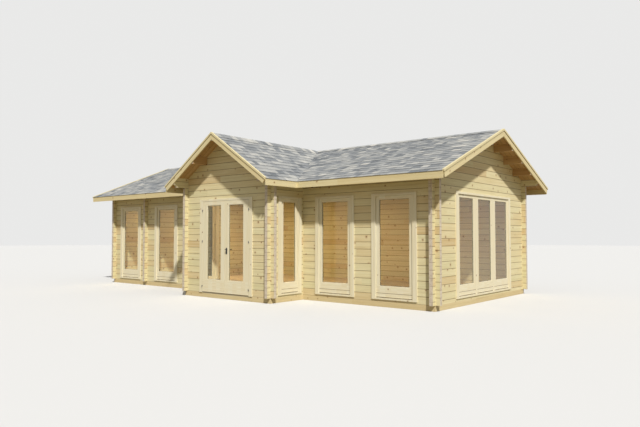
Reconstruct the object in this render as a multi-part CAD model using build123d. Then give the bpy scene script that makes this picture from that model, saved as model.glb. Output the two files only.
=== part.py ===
from build123d import *
import os
from math import atan2, cos, hypot, radians, sin, tan

os.makedirs("parts", exist_ok=True)

# Driving sizes, in millimetres. The origin is on the ground, under the middle of the roof's plan.
# +X runs along the house to its right gable, +Y to the back, +Z up.
house_length = 9985
house_depth = 4105
front_room_width = 2583
front_room_depth = 945
front_room_share = 0.429344

log_height = 135
wall = 70
wall_courses = 18
log_end = 90
groove_depth = 5
groove_half = 5
joint_play = 0.4
over_cut = 1
foundation_height = 100

roof_pitch = 22
eave_overhang = 445
gable_overhang = 410
front_gable_overhang = 391
front_eave_overhang = 233
board_rise = 21
shingle_rise = 7
shingle_lip = 12
ridge_cap_width = 150
ridge_cap_rise = 5
trim = 20
fascia_height = 125
gable_board_height = 138
cover_strip_width = 45
cover_strip_rise = 12
cover_strip_proud = 12
cover_strip_drop = 28
purlin_width = 70
purlin_height = 135
purlins_per_slope = 3
valley_width = 60
valley_depth = 160
bracket_radius = 65

floor_thickness = 28
floor_top = 118
joist_width = 60
joist_rows = 4

casing_width = 90
casing_thickness = 20
inner_casing_thickness = 15
liner = 23
sash_gap = 3
sash_thickness = 45
sash_setback = 2
drip_height = 10
drip_depth = 10
rail_groove_height = 80
rail_groove_half = 2
rail_groove_depth = 3
stop_width = 15
glass_thickness = 20
glass_play = 0.3

window_opening = 776
window_sill = 165
window_head = 2022
window_stile = 62
window_top_rail = 52
window_bottom_rail = 203
sill_drop = 31
head_casing = 42
right_pair_share = 0.50242
right_spacing_share = 0.453347
window_l_from_corner = 795
partition_from_window_l = 705
window_m_from_partition = 875
side_window_opening = 500
side_window_from_front = 540

gable_window_opening = 2376
gable_window_sill = 180
gable_window_head = 2068
gable_sash_stile = 72
gable_sashes = 3
gable_post = 60

door_opening = 1420
door_head = 2018
door_clear = 5
leaf_meeting_gap = 7
leaf_thickness = 45
hinge_stile = 150
meeting_stile = 112
leaf_top_rail = 80
leaf_bottom_rail = 268
door_stop = 15
sill_thickness = 20
hinge_radius = 7
hinge_length = 45
hinge_stand_off = 7
hinge_heights = [225, 1170, 1820]
hinge_flap = 14
hinge_flap_thickness = 3
handle_height = 1010
handle_plate = [36, 130, 6]
neck_width = 18
lever_reach = 48
lever_length = 80
lever_height = 18
lever_thickness = 12
passage_width = 800
passage_height = 1925

# Places worked out from the driving sizes.
x_right = house_length / 2
x_left = -house_length / 2
front_reach = front_room_depth + front_gable_overhang + cover_strip_proud
back_reach = eave_overhang + shingle_lip
y_front = front_reach - (front_reach + house_depth + back_reach) / 2
y_back = y_front + house_depth
y_ridge = (y_front + y_back) / 2
y_room = y_front - front_room_depth
front_room_from_right = front_room_share * house_length
x_centre = x_right - front_room_from_right
x_room_left = x_centre - front_room_width / 2
x_room_right = x_centre + front_room_width / 2
right_stretch = front_room_from_right - front_room_width / 2
x_window_l = x_left + window_l_from_corner
x_partition = x_window_l + partition_from_window_l
x_window_m = x_partition + window_m_from_partition
wall_top = foundation_height + wall_courses * log_height
side_joint = foundation_height + log_height / 2

slope = tan(radians(roof_pitch))
y_plate = y_front + wall / 2
ridge_under = wall_top + slope * (y_ridge - y_plate)
eave_run = y_ridge - (y_front - eave_overhang)
eave_under = ridge_under - slope * eave_run
front_run = front_room_width / 2 + front_eave_overhang
front_slope = (ridge_under - eave_under) / front_run
valley_run = front_run / eave_run
roof_rise = board_rise + shingle_rise
y_eave = y_front - eave_overhang
y_back_eave = y_back + eave_overhang


def block(x0, x1, y0, y1, z0, z1):
    """A rectangular solid between two corners."""
    return Pos((x0 + x1) / 2, (y0 + y1) / 2, (z0 + z1) / 2) * Box(x1 - x0, y1 - y0, z1 - z0)


def plate(points, direction):
    """A flat polygon pushed along a direction."""
    outline = Wire.make_polygon([Vector(*p) for p in points], close=True)
    return Solid.extrude(Face(outline), Vector(*direction))


def save(name, *solids):
    """Writes one node of one or more solids."""
    shapes = [s for solid in solids for s in solid.solids()]
    export_step(shapes[0] if len(shapes) == 1 else Compound(children=shapes), f"parts/{name}.step")


def main_under(y):
    """Height of the main roof boards' underside."""
    return ridge_under - slope * abs(y - y_ridge)


def front_under(x):
    """Height of the front gable's roof boards' underside."""
    return ridge_under - front_slope * abs(x - x_centre)


# The space below the roof boards trims walls, purlins and rafters to the slopes.
x_reach = x_right + gable_overhang
y_reach = y_room - front_gable_overhang
main_space = plate([(-x_reach, y_eave, 0), (-x_reach, y_eave, main_under(y_eave)),
                    (-x_reach, y_ridge, ridge_under), (-x_reach, y_back_eave, main_under(y_back_eave)),
                    (-x_reach, y_back_eave, 0)], (2 * x_reach, 0, 0))
front_space = plate([(x_centre - front_run, y_reach, 0), (x_centre - front_run, y_reach, eave_under),
                     (x_centre, y_reach, ridge_under), (x_centre + front_run, y_reach, eave_under),
                     (x_centre + front_run, y_reach, 0)], (0, y_ridge - y_reach, 0))
under_roof = main_space + front_space


def x_joints(top):
    """Joint heights of walls that run along X."""
    count = int((top - foundation_height) / log_height) + 1
    return [foundation_height + k * log_height for k in range(count)]


def y_joints(top):
    """Joint heights of walls that run along Y, half a log above the others."""
    count = int((top - side_joint) / log_height) + 1
    return [side_joint + k * log_height for k in range(count)]


top_joint = wall_top + log_height
gable_top = ridge_under + log_height


def log_profile(top, joints, outward):
    """Section of a stack of planed logs, with a V groove at each joint on its outer face."""
    face = [(0, foundation_height)]
    for z in joints:
        if foundation_height < z < top:
            face += [(0, z - groove_half), (groove_depth, z), (0, z + groove_half)]
    section = face + [(0, top), (wall, top), (wall, foundation_height)]
    return section if outward < 0 else [(wall - s, z) for s, z in section]


def x_wall(x0, x1, y, outward, top=top_joint):
    """Logs along X that fill y to y + wall, grooved on the face towards -Y or +Y."""
    section = log_profile(top, x_joints(top), outward)
    return plate([(x0, y + s, z) for s, z in section], (x1 - x0, 0, 0))


def y_wall(y0, y1, x, outward, top=top_joint):
    """Logs along Y that fill x to x + wall, grooved on the face towards -X or +X."""
    section = log_profile(top, y_joints(top), outward)
    return plate([(x + s, y0, z) for s, z in section], (0, y1 - y0, 0))


def notches(x, y, joints):
    """Cuts in the upper half of each log, in which the lower halves of a crossing wall's logs lie."""
    p = joint_play / 2
    depth = log_height / 2 + joint_play
    return [block(x - p, x + wall + p, y - p, y + wall + p, z - depth, z)
            for z in joints if z > foundation_height]


def cross_x(solid, places):
    """Notches a wall along X where walls along Y cross it at the given places."""
    return solid - [n for x, y in places for n in notches(x, y, x_joints(top_joint))]


def cross_y(solid, places):
    """Notches a wall along Y where walls along X cross it at the given places."""
    return solid - [n for x, y in places for n in notches(x, y, y_joints(top_joint))]


right_front = (x_right - wall, y_front)
right_back = (x_right - wall, y_back - wall)
left_front = (x_left, y_front)
left_back = (x_left, y_back - wall)
partition_front = (x_partition, y_front)
partition_back = (x_partition, y_back - wall)
room_left_front = (x_room_left, y_room)
room_right_front = (x_room_right - wall, y_room)
room_left_back = (x_room_left, y_front)
room_right_back = (x_room_right - wall, y_front)

# The joints under the top logs, which run on as brackets.
x_plate = wall_top - log_height
y_plate_joint = y_joints(x_plate)[-1]


def bracket(x0, x1, y):
    """The top log of a wall along X, run on under the gable overhang, with a round lower corner."""
    log = block(min(x0, x1), max(x0, x1), y, y + wall, x_plate, top_joint)
    scoop = Pos(x1, y + wall / 2, x_plate) * Rot(90, 0, 0) * Cylinder(bracket_radius, 2 * wall)
    return log - scoop


def front_bracket(x, y0, y1):
    """The top log of a wall along Y, run on to the front, with a round lower corner."""
    log = block(x, x + wall, y0, y1, y_plate_joint, top_joint)
    scoop = Pos(x + wall / 2, y0, y_plate_joint) * Rot(0, 90, 0) * Cylinder(bracket_radius, 2 * wall)
    return log - scoop


def bed_joint(z):
    """The play under a top log, which parts it from the wall below."""
    return block(-x_reach, x_reach, y_reach, y_back_eave, z - joint_play / 2, z + joint_play / 2)


# Purlins, ridge beams and valley rafters.
purlin_end = gable_overhang - trim - joint_play
x_purlin = x_right + purlin_end
y_purlin = y_room - front_gable_overhang + trim + joint_play


def main_purlin(y, x0, x1):
    """A beam along X under the main roof."""
    top = main_under(y)
    return block(x0, x1, y - purlin_width / 2, y + purlin_width / 2, top - purlin_height, top + purlin_width)


def front_purlin(x, y0, y1):
    """A beam along Y under the front gable's roof."""
    top = front_under(x)
    return block(x - purlin_width / 2, x + purlin_width / 2, y0, y1, top - purlin_height, top + purlin_width)


def front_plan(side, shift=0, lip=0, end=0):
    """Plan of the main roof's front slope on one side of the front gable."""
    away = hypot(1, valley_run) * shift
    y0 = y_eave - lip
    x_end = x_reach - end if side > 0 else -x_reach + end
    return [(x_end, y0), (x_centre + side * ((y_ridge - y0) * valley_run + away), y0),
            (x_centre + side * away, y_ridge), (x_end, y_ridge)]


def gable_plan(side, shift=0, lip=0, end=0):
    """Plan of the front gable's roof on one side of its ridge."""
    away = hypot(1, valley_run) * shift
    run = front_run + lip
    x_end = x_centre + side * run
    return [(x_centre, y_reach + end), (x_end, y_reach + end), (x_end, y_ridge - (run + away) / valley_run),
            (x_centre, y_ridge - away / valley_run)]


def column(plan):
    """A tall prism over a plan."""
    return plate([(x, y, 0) for x, y in plan], (0, 0, 2 * ridge_under))


spacing = (house_depth - wall) / 2 / (purlins_per_slope + 1)
purlin_rows = [spacing * (k + 1) for k in range(purlins_per_slope)]
ridge_beam = main_purlin(y_ridge, -x_purlin, x_purlin) & main_space
back_purlins = [main_purlin(y_ridge + row, -x_purlin, x_purlin) & main_space for row in purlin_rows]
clear_valley = valley_width / 2 + joint_play
right_side = main_space & column(front_plan(1, clear_valley))
left_side = main_space & column(front_plan(-1, clear_valley))
right_purlins = [main_purlin(y_ridge - row, x_centre, x_purlin) & right_side for row in purlin_rows]
left_purlins = [main_purlin(y_ridge - row, -x_purlin, x_centre) & left_side for row in purlin_rows]
y_beam_end = y_ridge - purlin_width / 2 - joint_play
front_beam = front_purlin(x_centre, y_purlin, y_beam_end) & front_space
front_row = (front_room_width - wall) / 4
front_purlins = [front_purlin(x_centre + side * front_row, y_purlin, y_ridge) & front_space
                 & column(gable_plan(side, clear_valley)) for side in (-1, 1)]


def valley_rafter(side, grow=0):
    """The rafter under a valley, from the inner wall corner up to the ridge beams."""
    run = hypot(front_run, eave_run)
    ux, uy = -side * front_run / run, eave_run / run
    y0 = y_front + wall / 2
    x0 = x_centre + side * (y_ridge - y0) * valley_run
    length = (y_ridge - y0) / uy
    low = main_under(y0) - valley_depth
    rise = ridge_under - main_under(y0)
    half = valley_width / 2 + grow
    nx, ny = -uy * half, ux * half
    foot = (x0 - ux * grow, y0 - uy * grow)
    head = (x0 + ux * length, y0 + uy * length)
    tall = valley_depth + log_height
    side_face = [(foot[0] - nx, foot[1] - ny, low - grow), (head[0] - nx, head[1] - ny, low + rise - grow),
                 (head[0] - nx, head[1] - ny, low + rise + tall), (foot[0] - nx, foot[1] - ny, low + tall)]
    return plate(side_face, (2 * nx, 2 * ny, 0))


def beam_pocket(beam):
    """The space that a beam takes in a wall, with its play."""
    low = beam.bounding_box().min
    high = beam.bounding_box().max
    p = joint_play / 2
    return block(low.X - p, high.X + p, low.Y - p, high.Y + p, low.Z - p, high.Z + log_height)


ridge_pockets = [beam_pocket(ridge_beam), beam_pocket(front_beam)]
valley_rafters = [(valley_rafter(side) & under_roof) - ridge_pockets for side in (-1, 1)]
valley_pockets = [valley_rafter(side, joint_play) for side in (-1, 1)]


def window_hole(x, y, z0, z1, width, angle):
    """The hole that a window's lining fills in a wall, at its centre on the outer face."""
    half = width / 2 + liner + joint_play
    hole = block(-half, half, -wall, 2 * wall, z0 - liner - joint_play, z1 + liner + joint_play)
    return Pos(x, y, 0) * Rot(0, 0, angle) * hole


def ring(width, z0, z1, border, bottom, top, y0, y1):
    """A flat frame round an opening, with its own bottom and top widths."""
    outer = block(-width / 2 - border, width / 2 + border, y0, y1, z0 - bottom, z1 + top)
    return outer - block(-width / 2, width / 2, y0 - over_cut, y1 + over_cut, z0, z1)


def window_frame(width, z0, z1):
    """Outside casing, lining with its stop, and inside casing, joined as one frame."""
    casing = ring(width, z0, z1, casing_width, sill_drop, head_casing, -casing_thickness, 0)
    lining = ring(width, z0, z1, liner, liner, liner, 0, wall)
    stop_front = sash_setback + sash_thickness + glass_play
    border = stop_width + over_cut
    stop = ring(width - 2 * stop_width, z0 + stop_width, z1 - stop_width, border, border, border, stop_front,
                wall)
    inside = ring(width, z0, z1, casing_width, sill_drop, head_casing, wall, wall + inner_casing_thickness)
    return casing + lining + stop + inside


def drip_rebate(x0, x1, face, low):
    """The cut along a bottom rail's lower front edge, from which water drips."""
    return block(x0 - over_cut, x1 + over_cut, face - over_cut, face + drip_depth, low - over_cut,
                 low + drip_height)


def sash(width, z0, z1, stile, bottom_rail, top_rail):
    """A glazed sash, grooved along its bottom rail, and its pane."""
    w = width - 2 * sash_gap
    low = z0 + sash_gap
    high = z1 - sash_gap
    glass_w = w - 2 * stile
    g0 = low + bottom_rail
    g1 = high - top_rail
    y0 = sash_setback
    y1 = sash_setback + sash_thickness
    y_mid = (y0 + y1) / 2
    body = block(-w / 2, w / 2, y0, y1, low, high)
    body -= block(-glass_w / 2, glass_w / 2, y0 - over_cut, y1 + over_cut, g0, g1)
    body -= drip_rebate(-w / 2, w / 2, y0, low)
    groove = low + rail_groove_height
    body -= block(-w, w, y0 - over_cut, y0 + rail_groove_depth, groove - rail_groove_half,
                  groove + rail_groove_half)
    pane = block(-glass_w / 2 + glass_play, glass_w / 2 - glass_play, y_mid - glass_thickness / 2,
                 y_mid + glass_thickness / 2, g0 + glass_play, g1 - glass_play)
    return body, pane


def place(shape, x, y, angle):
    """Puts a shape made at the origin on a wall's outer face."""
    return Pos(x, y, 0) * Rot(0, 0, angle) * shape


# Windows: centre on the outer face and the direction they face.
x_right_pair = x_right - right_pair_share * right_stretch
half_spacing = right_spacing_share * right_stretch / 2
window_a = (x_right_pair - half_spacing, y_front, 0)
window_b = (x_right_pair + half_spacing, y_front, 0)
window_m = (x_window_m, y_front, 0)
window_l = (x_window_l, y_front, 0)
side_window_right = (x_room_right, y_room + side_window_from_front, 90)
side_window_left = (x_room_left, y_room + side_window_from_front, -90)
gable_window = (x_right, y_ridge, 90)


def tall_window(at, width=window_opening):
    """Frame, sash, pane and wall hole of a tall casement."""
    frame = window_frame(width, window_sill, window_head)
    leaf, pane = sash(width, window_sill, window_head, window_stile, window_bottom_rail, window_top_rail)
    x, y, angle = at
    hole = window_hole(x, y, window_sill, window_head, width, angle)
    return place(frame, x, y, angle), place(leaf, x, y, angle), place(pane, x, y, angle), hole


frame_a, sash_a, pane_a, hole_a = tall_window(window_a)
frame_b, sash_b, pane_b, hole_b = tall_window(window_b)
frame_m, sash_m, pane_m, hole_m = tall_window(window_m)
frame_l, sash_l, pane_l, hole_l = tall_window(window_l)
frame_r, sash_r, pane_r, hole_r = tall_window(side_window_right, side_window_opening)
frame_s, sash_s, pane_s, hole_s = tall_window(side_window_left, side_window_opening)

# The three-sash window in the right gable.
bay = (gable_window_opening - (gable_sashes - 1) * gable_post) / gable_sashes
gable_frame = window_frame(gable_window_opening, gable_window_sill, gable_window_head)
gable_leaves = []
gable_panes = []
for k in range(gable_sashes):
    u = -gable_window_opening / 2 + bay / 2 + k * (bay + gable_post)
    leaf, pane = sash(bay, gable_window_sill, gable_window_head, gable_sash_stile, window_bottom_rail,
                      window_top_rail)
    gable_leaves.append(place(Pos(u, 0, 0) * leaf, *gable_window))
    gable_panes.append(place(Pos(u, 0, 0) * pane, *gable_window))
    if k:
        u_post = u - bay / 2 - gable_post / 2
        stop_front = sash_setback + sash_thickness + glass_play
        gable_frame += block(u_post - gable_post / 2, u_post + gable_post / 2, 0, wall, gable_window_sill,
                             gable_window_head)
        gable_frame += block(u_post - gable_post / 2 - stop_width, u_post + gable_post / 2 + stop_width,
                             stop_front, wall, gable_window_sill, gable_window_head)
gable_frame = place(gable_frame, *gable_window)
gable_hole = window_hole(x_right, y_ridge, gable_window_sill, gable_window_head, gable_window_opening, 90)

# Log walls. The long walls start with a whole log, the cross walls with half a log.
front_left = cross_x(x_wall(x_left - log_end, x_room_left + wall, y_front, -1),
                     [left_front, partition_front, room_left_back])
front_left += bracket(x_left - log_end, -x_purlin, y_front)
front_left = (front_left - [hole_m, hole_l]) & under_roof
save("front_wall_left", front_left - valley_pockets - [bed_joint(x_plate)])

front_right = cross_x(x_wall(x_room_right - wall, x_right + log_end, y_front, -1),
                      [right_front, room_right_back])
front_right += bracket(x_right + log_end, x_purlin, y_front)
front_right = (front_right - [hole_a, hole_b]) & under_roof
save("front_wall_right", front_right - valley_pockets - [bed_joint(x_plate)])

back = cross_x(x_wall(x_left - log_end, x_right + log_end, y_back - wall, 1),
               [left_back, right_back, partition_back])
back += bracket(x_left - log_end, -x_purlin, y_back - wall)
back += bracket(x_right + log_end, x_purlin, y_back - wall)
save("back_wall", (back & under_roof) - [bed_joint(x_plate)])

through_beams = [beam_pocket(b) for b in [ridge_beam] + back_purlins + right_purlins + left_purlins]
right_gable = cross_y(y_wall(y_front - log_end, y_back + log_end, x_right - wall, 1, gable_top),
                      [right_front, right_back])
save("right_gable_wall", (right_gable - [gable_hole] - through_beams) & main_space)

left_gable = cross_y(y_wall(y_front - log_end, y_back + log_end, x_left, -1, gable_top),
                     [left_front, left_back])
save("left_gable_wall", (left_gable - through_beams) & main_space)

# The inner partition has a plain passage, so it is split beside and over it.
passage_low = block(x_partition - wall, x_partition + 2 * wall, y_ridge - passage_width / 2,
                    y_ridge + passage_width / 2, 0, passage_height)
partition_split = y_joints(passage_height)[-1] + log_height
inner = cross_y(block(x_partition, x_partition + wall, y_front - log_end, y_back + log_end, foundation_height,
                      gable_top), [partition_front, partition_back])
inner = (inner - [passage_low] - through_beams) & main_space
low_half = block(x_left, x_right, y_front - eave_overhang, y_ridge, 0, partition_split)
high_half = block(x_left, x_right, y_ridge, y_back + eave_overhang, 0, partition_split)
over = block(x_left, x_right, y_front - eave_overhang, y_back + eave_overhang, partition_split,
             2 * ridge_under)
save("partition_wall_beside", inner & low_half, inner & high_half)
save("partition_wall_over", inner & over)

# The front room's side walls and its gable wall, split beside and over the double door.
room_left = cross_y(y_wall(y_room - log_end, y_front + wall, x_room_left, -1),
                    [room_left_front, room_left_back])
room_left += front_bracket(x_room_left, y_purlin, y_room - log_end)
room_left = (room_left - [hole_s]) & under_roof
save("front_room_left_wall", room_left - valley_pockets - [bed_joint(y_plate_joint)])

room_right = cross_y(y_wall(y_room - log_end, y_front + wall, x_room_right - wall, 1),
                     [room_right_front, room_right_back])
room_right += front_bracket(x_room_right - wall, y_purlin, y_room - log_end)
room_right = (room_right - [hole_r]) & under_roof
save("front_room_right_wall", room_right - valley_pockets - [bed_joint(y_plate_joint)])

door_hole = window_hole(x_centre, y_room, foundation_height + liner, door_head, door_opening, 0)
door_split = x_joints(door_head)[-1]
gable_beams = [beam_pocket(b) for b in [front_beam] + front_purlins]
front_gable = cross_x(x_wall(x_room_left - log_end, x_room_right + log_end, y_room, -1, gable_top),
                      [room_left_front, room_right_front])
front_gable = (front_gable - [door_hole] - gable_beams) & front_space
left_of_door = block(x_room_left - 2 * log_end, x_centre, y_reach, y_front, 0, door_split)
right_of_door = block(x_centre, x_room_right + 2 * log_end, y_reach, y_front, 0, door_split)
over_door = block(x_room_left - 2 * log_end, x_room_right + 2 * log_end, y_reach, y_front, door_split,
                  2 * ridge_under)
save("door_side_walls", front_gable & left_of_door, front_gable & right_of_door)
save("front_gable_wall", front_gable & over_door)


# Foundation beams under every wall, butted with a small play, and joists under the floor.
def beam_x(x0, x1, y):
    """A foundation beam along X."""
    return block(x0, x1, y, y + wall, 0, foundation_height)


def beam_y(y0, y1, x):
    """A foundation beam along Y, between two beams along X."""
    return block(x, x + wall, y0 + wall + joint_play, y1 - joint_play, 0, foundation_height)


sill_half = door_opening / 2 + liner + joint_play
sill_space = block(x_centre - sill_half, x_centre + sill_half, y_room - wall, y_room + 2 * wall,
                   foundation_height - sill_thickness - joint_play, 2 * foundation_height)
save("foundation_beams",
     beam_x(x_left, x_room_left + wall, y_front),
     beam_x(x_room_right - wall, x_right, y_front),
     beam_x(x_left, x_right, y_back - wall),
     beam_x(x_room_left, x_room_right, y_room) - sill_space,
     *[beam_y(y_front, y_back - wall, x) for x in (x_left, x_partition, x_right - wall)],
     *[beam_y(y_room, y_front, x) for x in (x_room_left, x_room_right - wall)])

floor_low = floor_top - floor_thickness
edge = joint_play
rooms = [(x_left + wall + edge, x_partition - edge, y_front + wall + edge, y_back - wall - edge),
         (x_partition + wall + edge, x_right - wall - edge, y_front + wall + edge, y_back - wall - edge)]
front_room = (x_room_left + wall + edge, x_room_right - wall - edge, y_room + wall + edge + joint_play,
              y_front + wall)
save("floor_boards", *[block(*room, floor_low, floor_top) for room in rooms + [front_room]])

joists = []
for room in rooms:
    for k in range(joist_rows):
        y = room[2] + (room[3] - room[2]) * (k + 1) / (joist_rows + 1)
        joists.append(block(room[0], room[1], y - joist_width / 2, y + joist_width / 2, 0, floor_low))
y = (front_room[2] + front_room[3]) / 2
joists.append(block(front_room[0], front_room[1], y - joist_width / 2, y + joist_width / 2, 0, floor_low))
save("floor_joists", *joists)

# Purlins and rafters.
save("ridge_beam", ridge_beam)
save("purlins_back", *back_purlins)
save("purlins_front", *right_purlins, *left_purlins)
save("front_gable_purlins", front_beam, *front_purlins)
save("valley_rafters", *valley_rafters)


def panel(plan, under, low, high):
    """A sloping layer over a plan, between two heights above the boards' underside."""
    points = [(x, y, under(x, y) + low) for x, y in plan]
    return plate(points, (0, 0, high - low))


def on_main(x, y):
    return main_under(y)


def on_front(x, y):
    return front_under(x)


inset = trim + joint_play
x_inside = x_reach - inset
y_behind = y_ridge + joint_play
back_boards = [(-x_inside, y_behind), (x_inside, y_behind), (x_inside, y_back_eave - inset),
               (-x_inside, y_back_eave - inset)]
back_shingles = [(-x_inside, y_behind), (x_inside, y_behind), (x_inside, y_back_eave + shingle_lip),
                 (-x_inside, y_back_eave + shingle_lip)]
half_play = joint_play / 2
save("roof_boards_back", panel(back_boards, on_main, 0, board_rise))
save("shingles_back", panel(back_shingles, on_main, board_rise, roof_rise))
for side, word in ((-1, "left"), (1, "right")):
    boards = front_plan(side, half_play, -inset, inset)
    shingles = front_plan(side, half_play, shingle_lip, inset)
    save(f"roof_boards_{word}", panel(boards, on_main, 0, board_rise))
    save(f"shingles_{word}", panel(shingles, on_main, board_rise, roof_rise))
ridge_gap = [block(x_centre - half_play, x_centre + half_play, y_reach, y_ridge, 0, 2 * ridge_under)]
gable_boarding = []
gable_shingles = []
for side in (-1, 1):
    boards = gable_plan(side, half_play, -inset, inset)
    shingles = gable_plan(side, half_play, shingle_lip, inset)
    gable_boarding.append(panel(boards, on_front, 0, board_rise) - ridge_gap)
    gable_shingles.append(panel(shingles, on_front, board_rise, roof_rise) - ridge_gap)
save("roof_boards_front_gable", *gable_boarding)
save("shingles_front_gable", *gable_shingles)

# Ridge caps, one strip down each side of a ridge, cut at the valleys and behind the cover strips.
cap_high = roof_rise + ridge_cap_rise
strip_inset = cover_strip_width - cover_strip_proud + joint_play
x_cap = x_reach - strip_inset
cap_run = ridge_cap_width * slope / front_slope
back_cap = panel([(-x_cap, y_ridge + half_play), (x_cap, y_ridge + half_play),
                  (x_cap, y_ridge + ridge_cap_width), (-x_cap, y_ridge + ridge_cap_width)], on_main,
                 roof_rise, cap_high)
front_cap = panel([(-x_cap, y_ridge - ridge_cap_width), (x_cap, y_ridge - ridge_cap_width), (x_cap, y_ridge),
                   (-x_cap, y_ridge)], on_main, roof_rise, cap_high)
caps = [back_cap] + [front_cap & column(front_plan(side, half_play)) for side in (-1, 1)]
for side in (-1, 1):
    x0 = x_centre + side * half_play
    x1 = x_centre + side * cap_run
    strip = panel([(x0, y_reach + strip_inset), (x1, y_reach + strip_inset), (x1, y_ridge), (x0, y_ridge)],
                  on_front, roof_rise, cap_high)
    caps.append(strip & column(gable_plan(side, half_play)))
save("ridge_caps", *caps)

# Eave fascias. Their tops are level with the boards' upper side.
fascia_top = eave_under + board_rise
fascia_low = fascia_top - fascia_height
x_fascia = x_reach - trim - joint_play
fascias = [block(-x_fascia, x_fascia, y_back_eave - trim, y_back_eave, fascia_low, fascia_top)]
y_gable_inside = y_reach + trim + joint_play
for side in (-1, 1):
    x_in = x_centre + side * front_run
    x_out = side * x_fascia
    start = x_in + side * joint_play
    fascias.append(block(min(start, x_out), max(start, x_out), y_eave, y_eave + trim, fascia_low, fascia_top))
    fascias.append(block(min(x_in, x_in - side * trim), max(x_in, x_in - side * trim), y_gable_inside,
                         y_eave + trim, fascia_low, fascia_top))
save("eave_fascias", *fascias)


def main_fall(run):
    """Height of the main boards' underside beside the ridge."""
    return ridge_under - slope * abs(run)


def front_fall(run):
    """Height of the front gable boards' underside beside its ridge."""
    return ridge_under - front_slope * abs(run)


def slanting(near, far, fall, low, high):
    """Elevation of a band that follows a slope, between two heights above the boards' underside."""
    return [(near, fall(near) + low), (far, fall(far) + low), (far, fall(far) + high),
            (near, fall(near) + high)]


def gable_board(run, fall, side):
    """Elevations of a gable board, cut square at the eave, of its cover strip's top and of its apron."""
    near = side * joint_play / 2
    far = side * run
    pitch = atan2(fall(0) - fall(run), run)
    board = slanting(near, far, fall, roof_rise - gable_board_height, roof_rise)
    u = side * (run - gable_board_height * sin(pitch) * cos(pitch))
    board[1] = (u, fall(u) + roof_rise - gable_board_height)
    strip = slanting(near, far, fall, roof_rise, roof_rise + cover_strip_rise)
    return board, strip, slanting(near, far, fall, roof_rise - cover_strip_drop, roof_rise)


def dressed_board(elevations, outline, out):
    """A gable board with its strip; outline places an elevation, out points away from the house."""
    board, strip, apron = elevations
    inward = [-c for c in out]
    solid = plate(outline(board, 0), [c * trim for c in inward])
    solid += plate(outline(strip, cover_strip_proud), [c * cover_strip_width for c in inward])
    return solid + plate(outline(apron, cover_strip_proud), [c * cover_strip_proud for c in inward])


def side_outline(elevation, proud):
    """Points of an elevation on the right gable's boards."""
    return [(x_reach + proud, y_ridge + u, z) for u, z in elevation]


def front_outline(elevation, proud):
    """Points of an elevation on the front gable's boards."""
    return [(x_centre + u, y_reach - proud, z) for u, z in elevation]


side_boards = []
front_boards = []
for side in (-1, 1):
    side_boards.append(dressed_board(gable_board(eave_run, main_fall, side), side_outline, (1, 0, 0)))
    front_boards.append(dressed_board(gable_board(front_run, front_fall, side), front_outline, (0, -1, 0)))
save("gable_boards_right", *side_boards)
save("gable_boards_left", *[mirror(board, about=Plane.YZ) for board in side_boards])
save("gable_boards_front", *front_boards)

# Windows.
save("window_frames", frame_a, frame_b, frame_m, frame_l, frame_r, frame_s)
save("gable_window_frame", gable_frame)
save("window_sashes", sash_a, sash_b, sash_m, sash_l, sash_r, sash_s, *gable_leaves)
save("window_glass", pane_a, pane_b, pane_m, pane_l, pane_r, pane_s, *gable_panes)

# Double door. The frame's sill lies flush with the foundation beams' top.
casing = ring(door_opening, foundation_height, door_head, casing_width, 0, head_casing, -casing_thickness, 0)
lining = ring(door_opening, foundation_height, door_head, liner, sill_thickness, liner, 0, wall)
inside = ring(door_opening, foundation_height, door_head, casing_width, 0, head_casing, wall,
              wall + inner_casing_thickness)
door_y0 = -casing_thickness
door_y1 = door_y0 + leaf_thickness
stop_hole = block(-door_opening / 2 + door_stop, door_opening / 2 - door_stop, 0, 2 * wall, 0,
                  door_head - door_stop)
stop_reach = door_opening / 2 + over_cut
stop = block(-stop_reach, stop_reach, door_y1 + door_clear, wall, foundation_height - over_cut,
             door_head + over_cut)
below = block(-door_opening, door_opening, -wall, 2 * wall, -wall, foundation_height - sill_thickness)
inner_foot = block(-door_opening, door_opening, wall, 2 * wall, 0, floor_top + joint_play)
door_frame = (casing + lining + (stop - stop_hole) + (inside - inner_foot)) - below
post_edge = door_opening / 2 - door_stop
reach = door_opening
middle = door_head / 2
members = [block(-reach, -post_edge, -reach, reach, 0, 2 * door_head),
           block(post_edge, reach, -reach, reach, 0, 2 * door_head),
           block(-post_edge + joint_play, post_edge - joint_play, -reach, reach, middle, 2 * door_head),
           block(-post_edge + joint_play, post_edge - joint_play, -reach, reach, 0, middle)]
save("door_frame", *[place(door_frame & member, x_centre, y_room, 0) for member in members])

leaf_low = foundation_height + door_clear
leaf_high = door_head - door_clear
leaf_width = (door_opening - 2 * door_clear - leaf_meeting_gap) / 2
pivot_x = door_opening / 2 - door_clear / 2
pivot_y = door_y0 - hinge_stand_off


def door_leaf():
    """The right leaf, with its pane, seen from the door's middle."""
    x0 = leaf_meeting_gap / 2
    x1 = x0 + leaf_width
    g0, g1 = x0 + meeting_stile, x1 - hinge_stile
    h0, h1 = leaf_low + leaf_bottom_rail, leaf_high - leaf_top_rail
    body = block(x0, x1, door_y0, door_y1, leaf_low, leaf_high)
    body -= block(g0, g1, door_y0 - over_cut, door_y1 + over_cut, h0, h1)
    body -= drip_rebate(x0, x1, door_y0, leaf_low)
    mid = (door_y0 + door_y1) / 2
    pane = block(g0 + glass_play, g1 - glass_play, mid - glass_thickness / 2, mid + glass_thickness / 2,
                 h0 + glass_play, h1 - glass_play)
    return body, pane


def barrel(z0, z1, flap_side):
    """Half of a hinge: a barrel and its flap on the frame or the leaf."""
    tube = Pos(pivot_x, pivot_y, (z0 + z1) / 2) * Cylinder(hinge_radius, z1 - z0)
    flap_end = pivot_x + flap_side * hinge_flap
    flap = block(min(pivot_x, flap_end), max(pivot_x, flap_end), door_y0 - hinge_flap_thickness, door_y0, z0,
                 z1)
    return tube + flap


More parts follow.
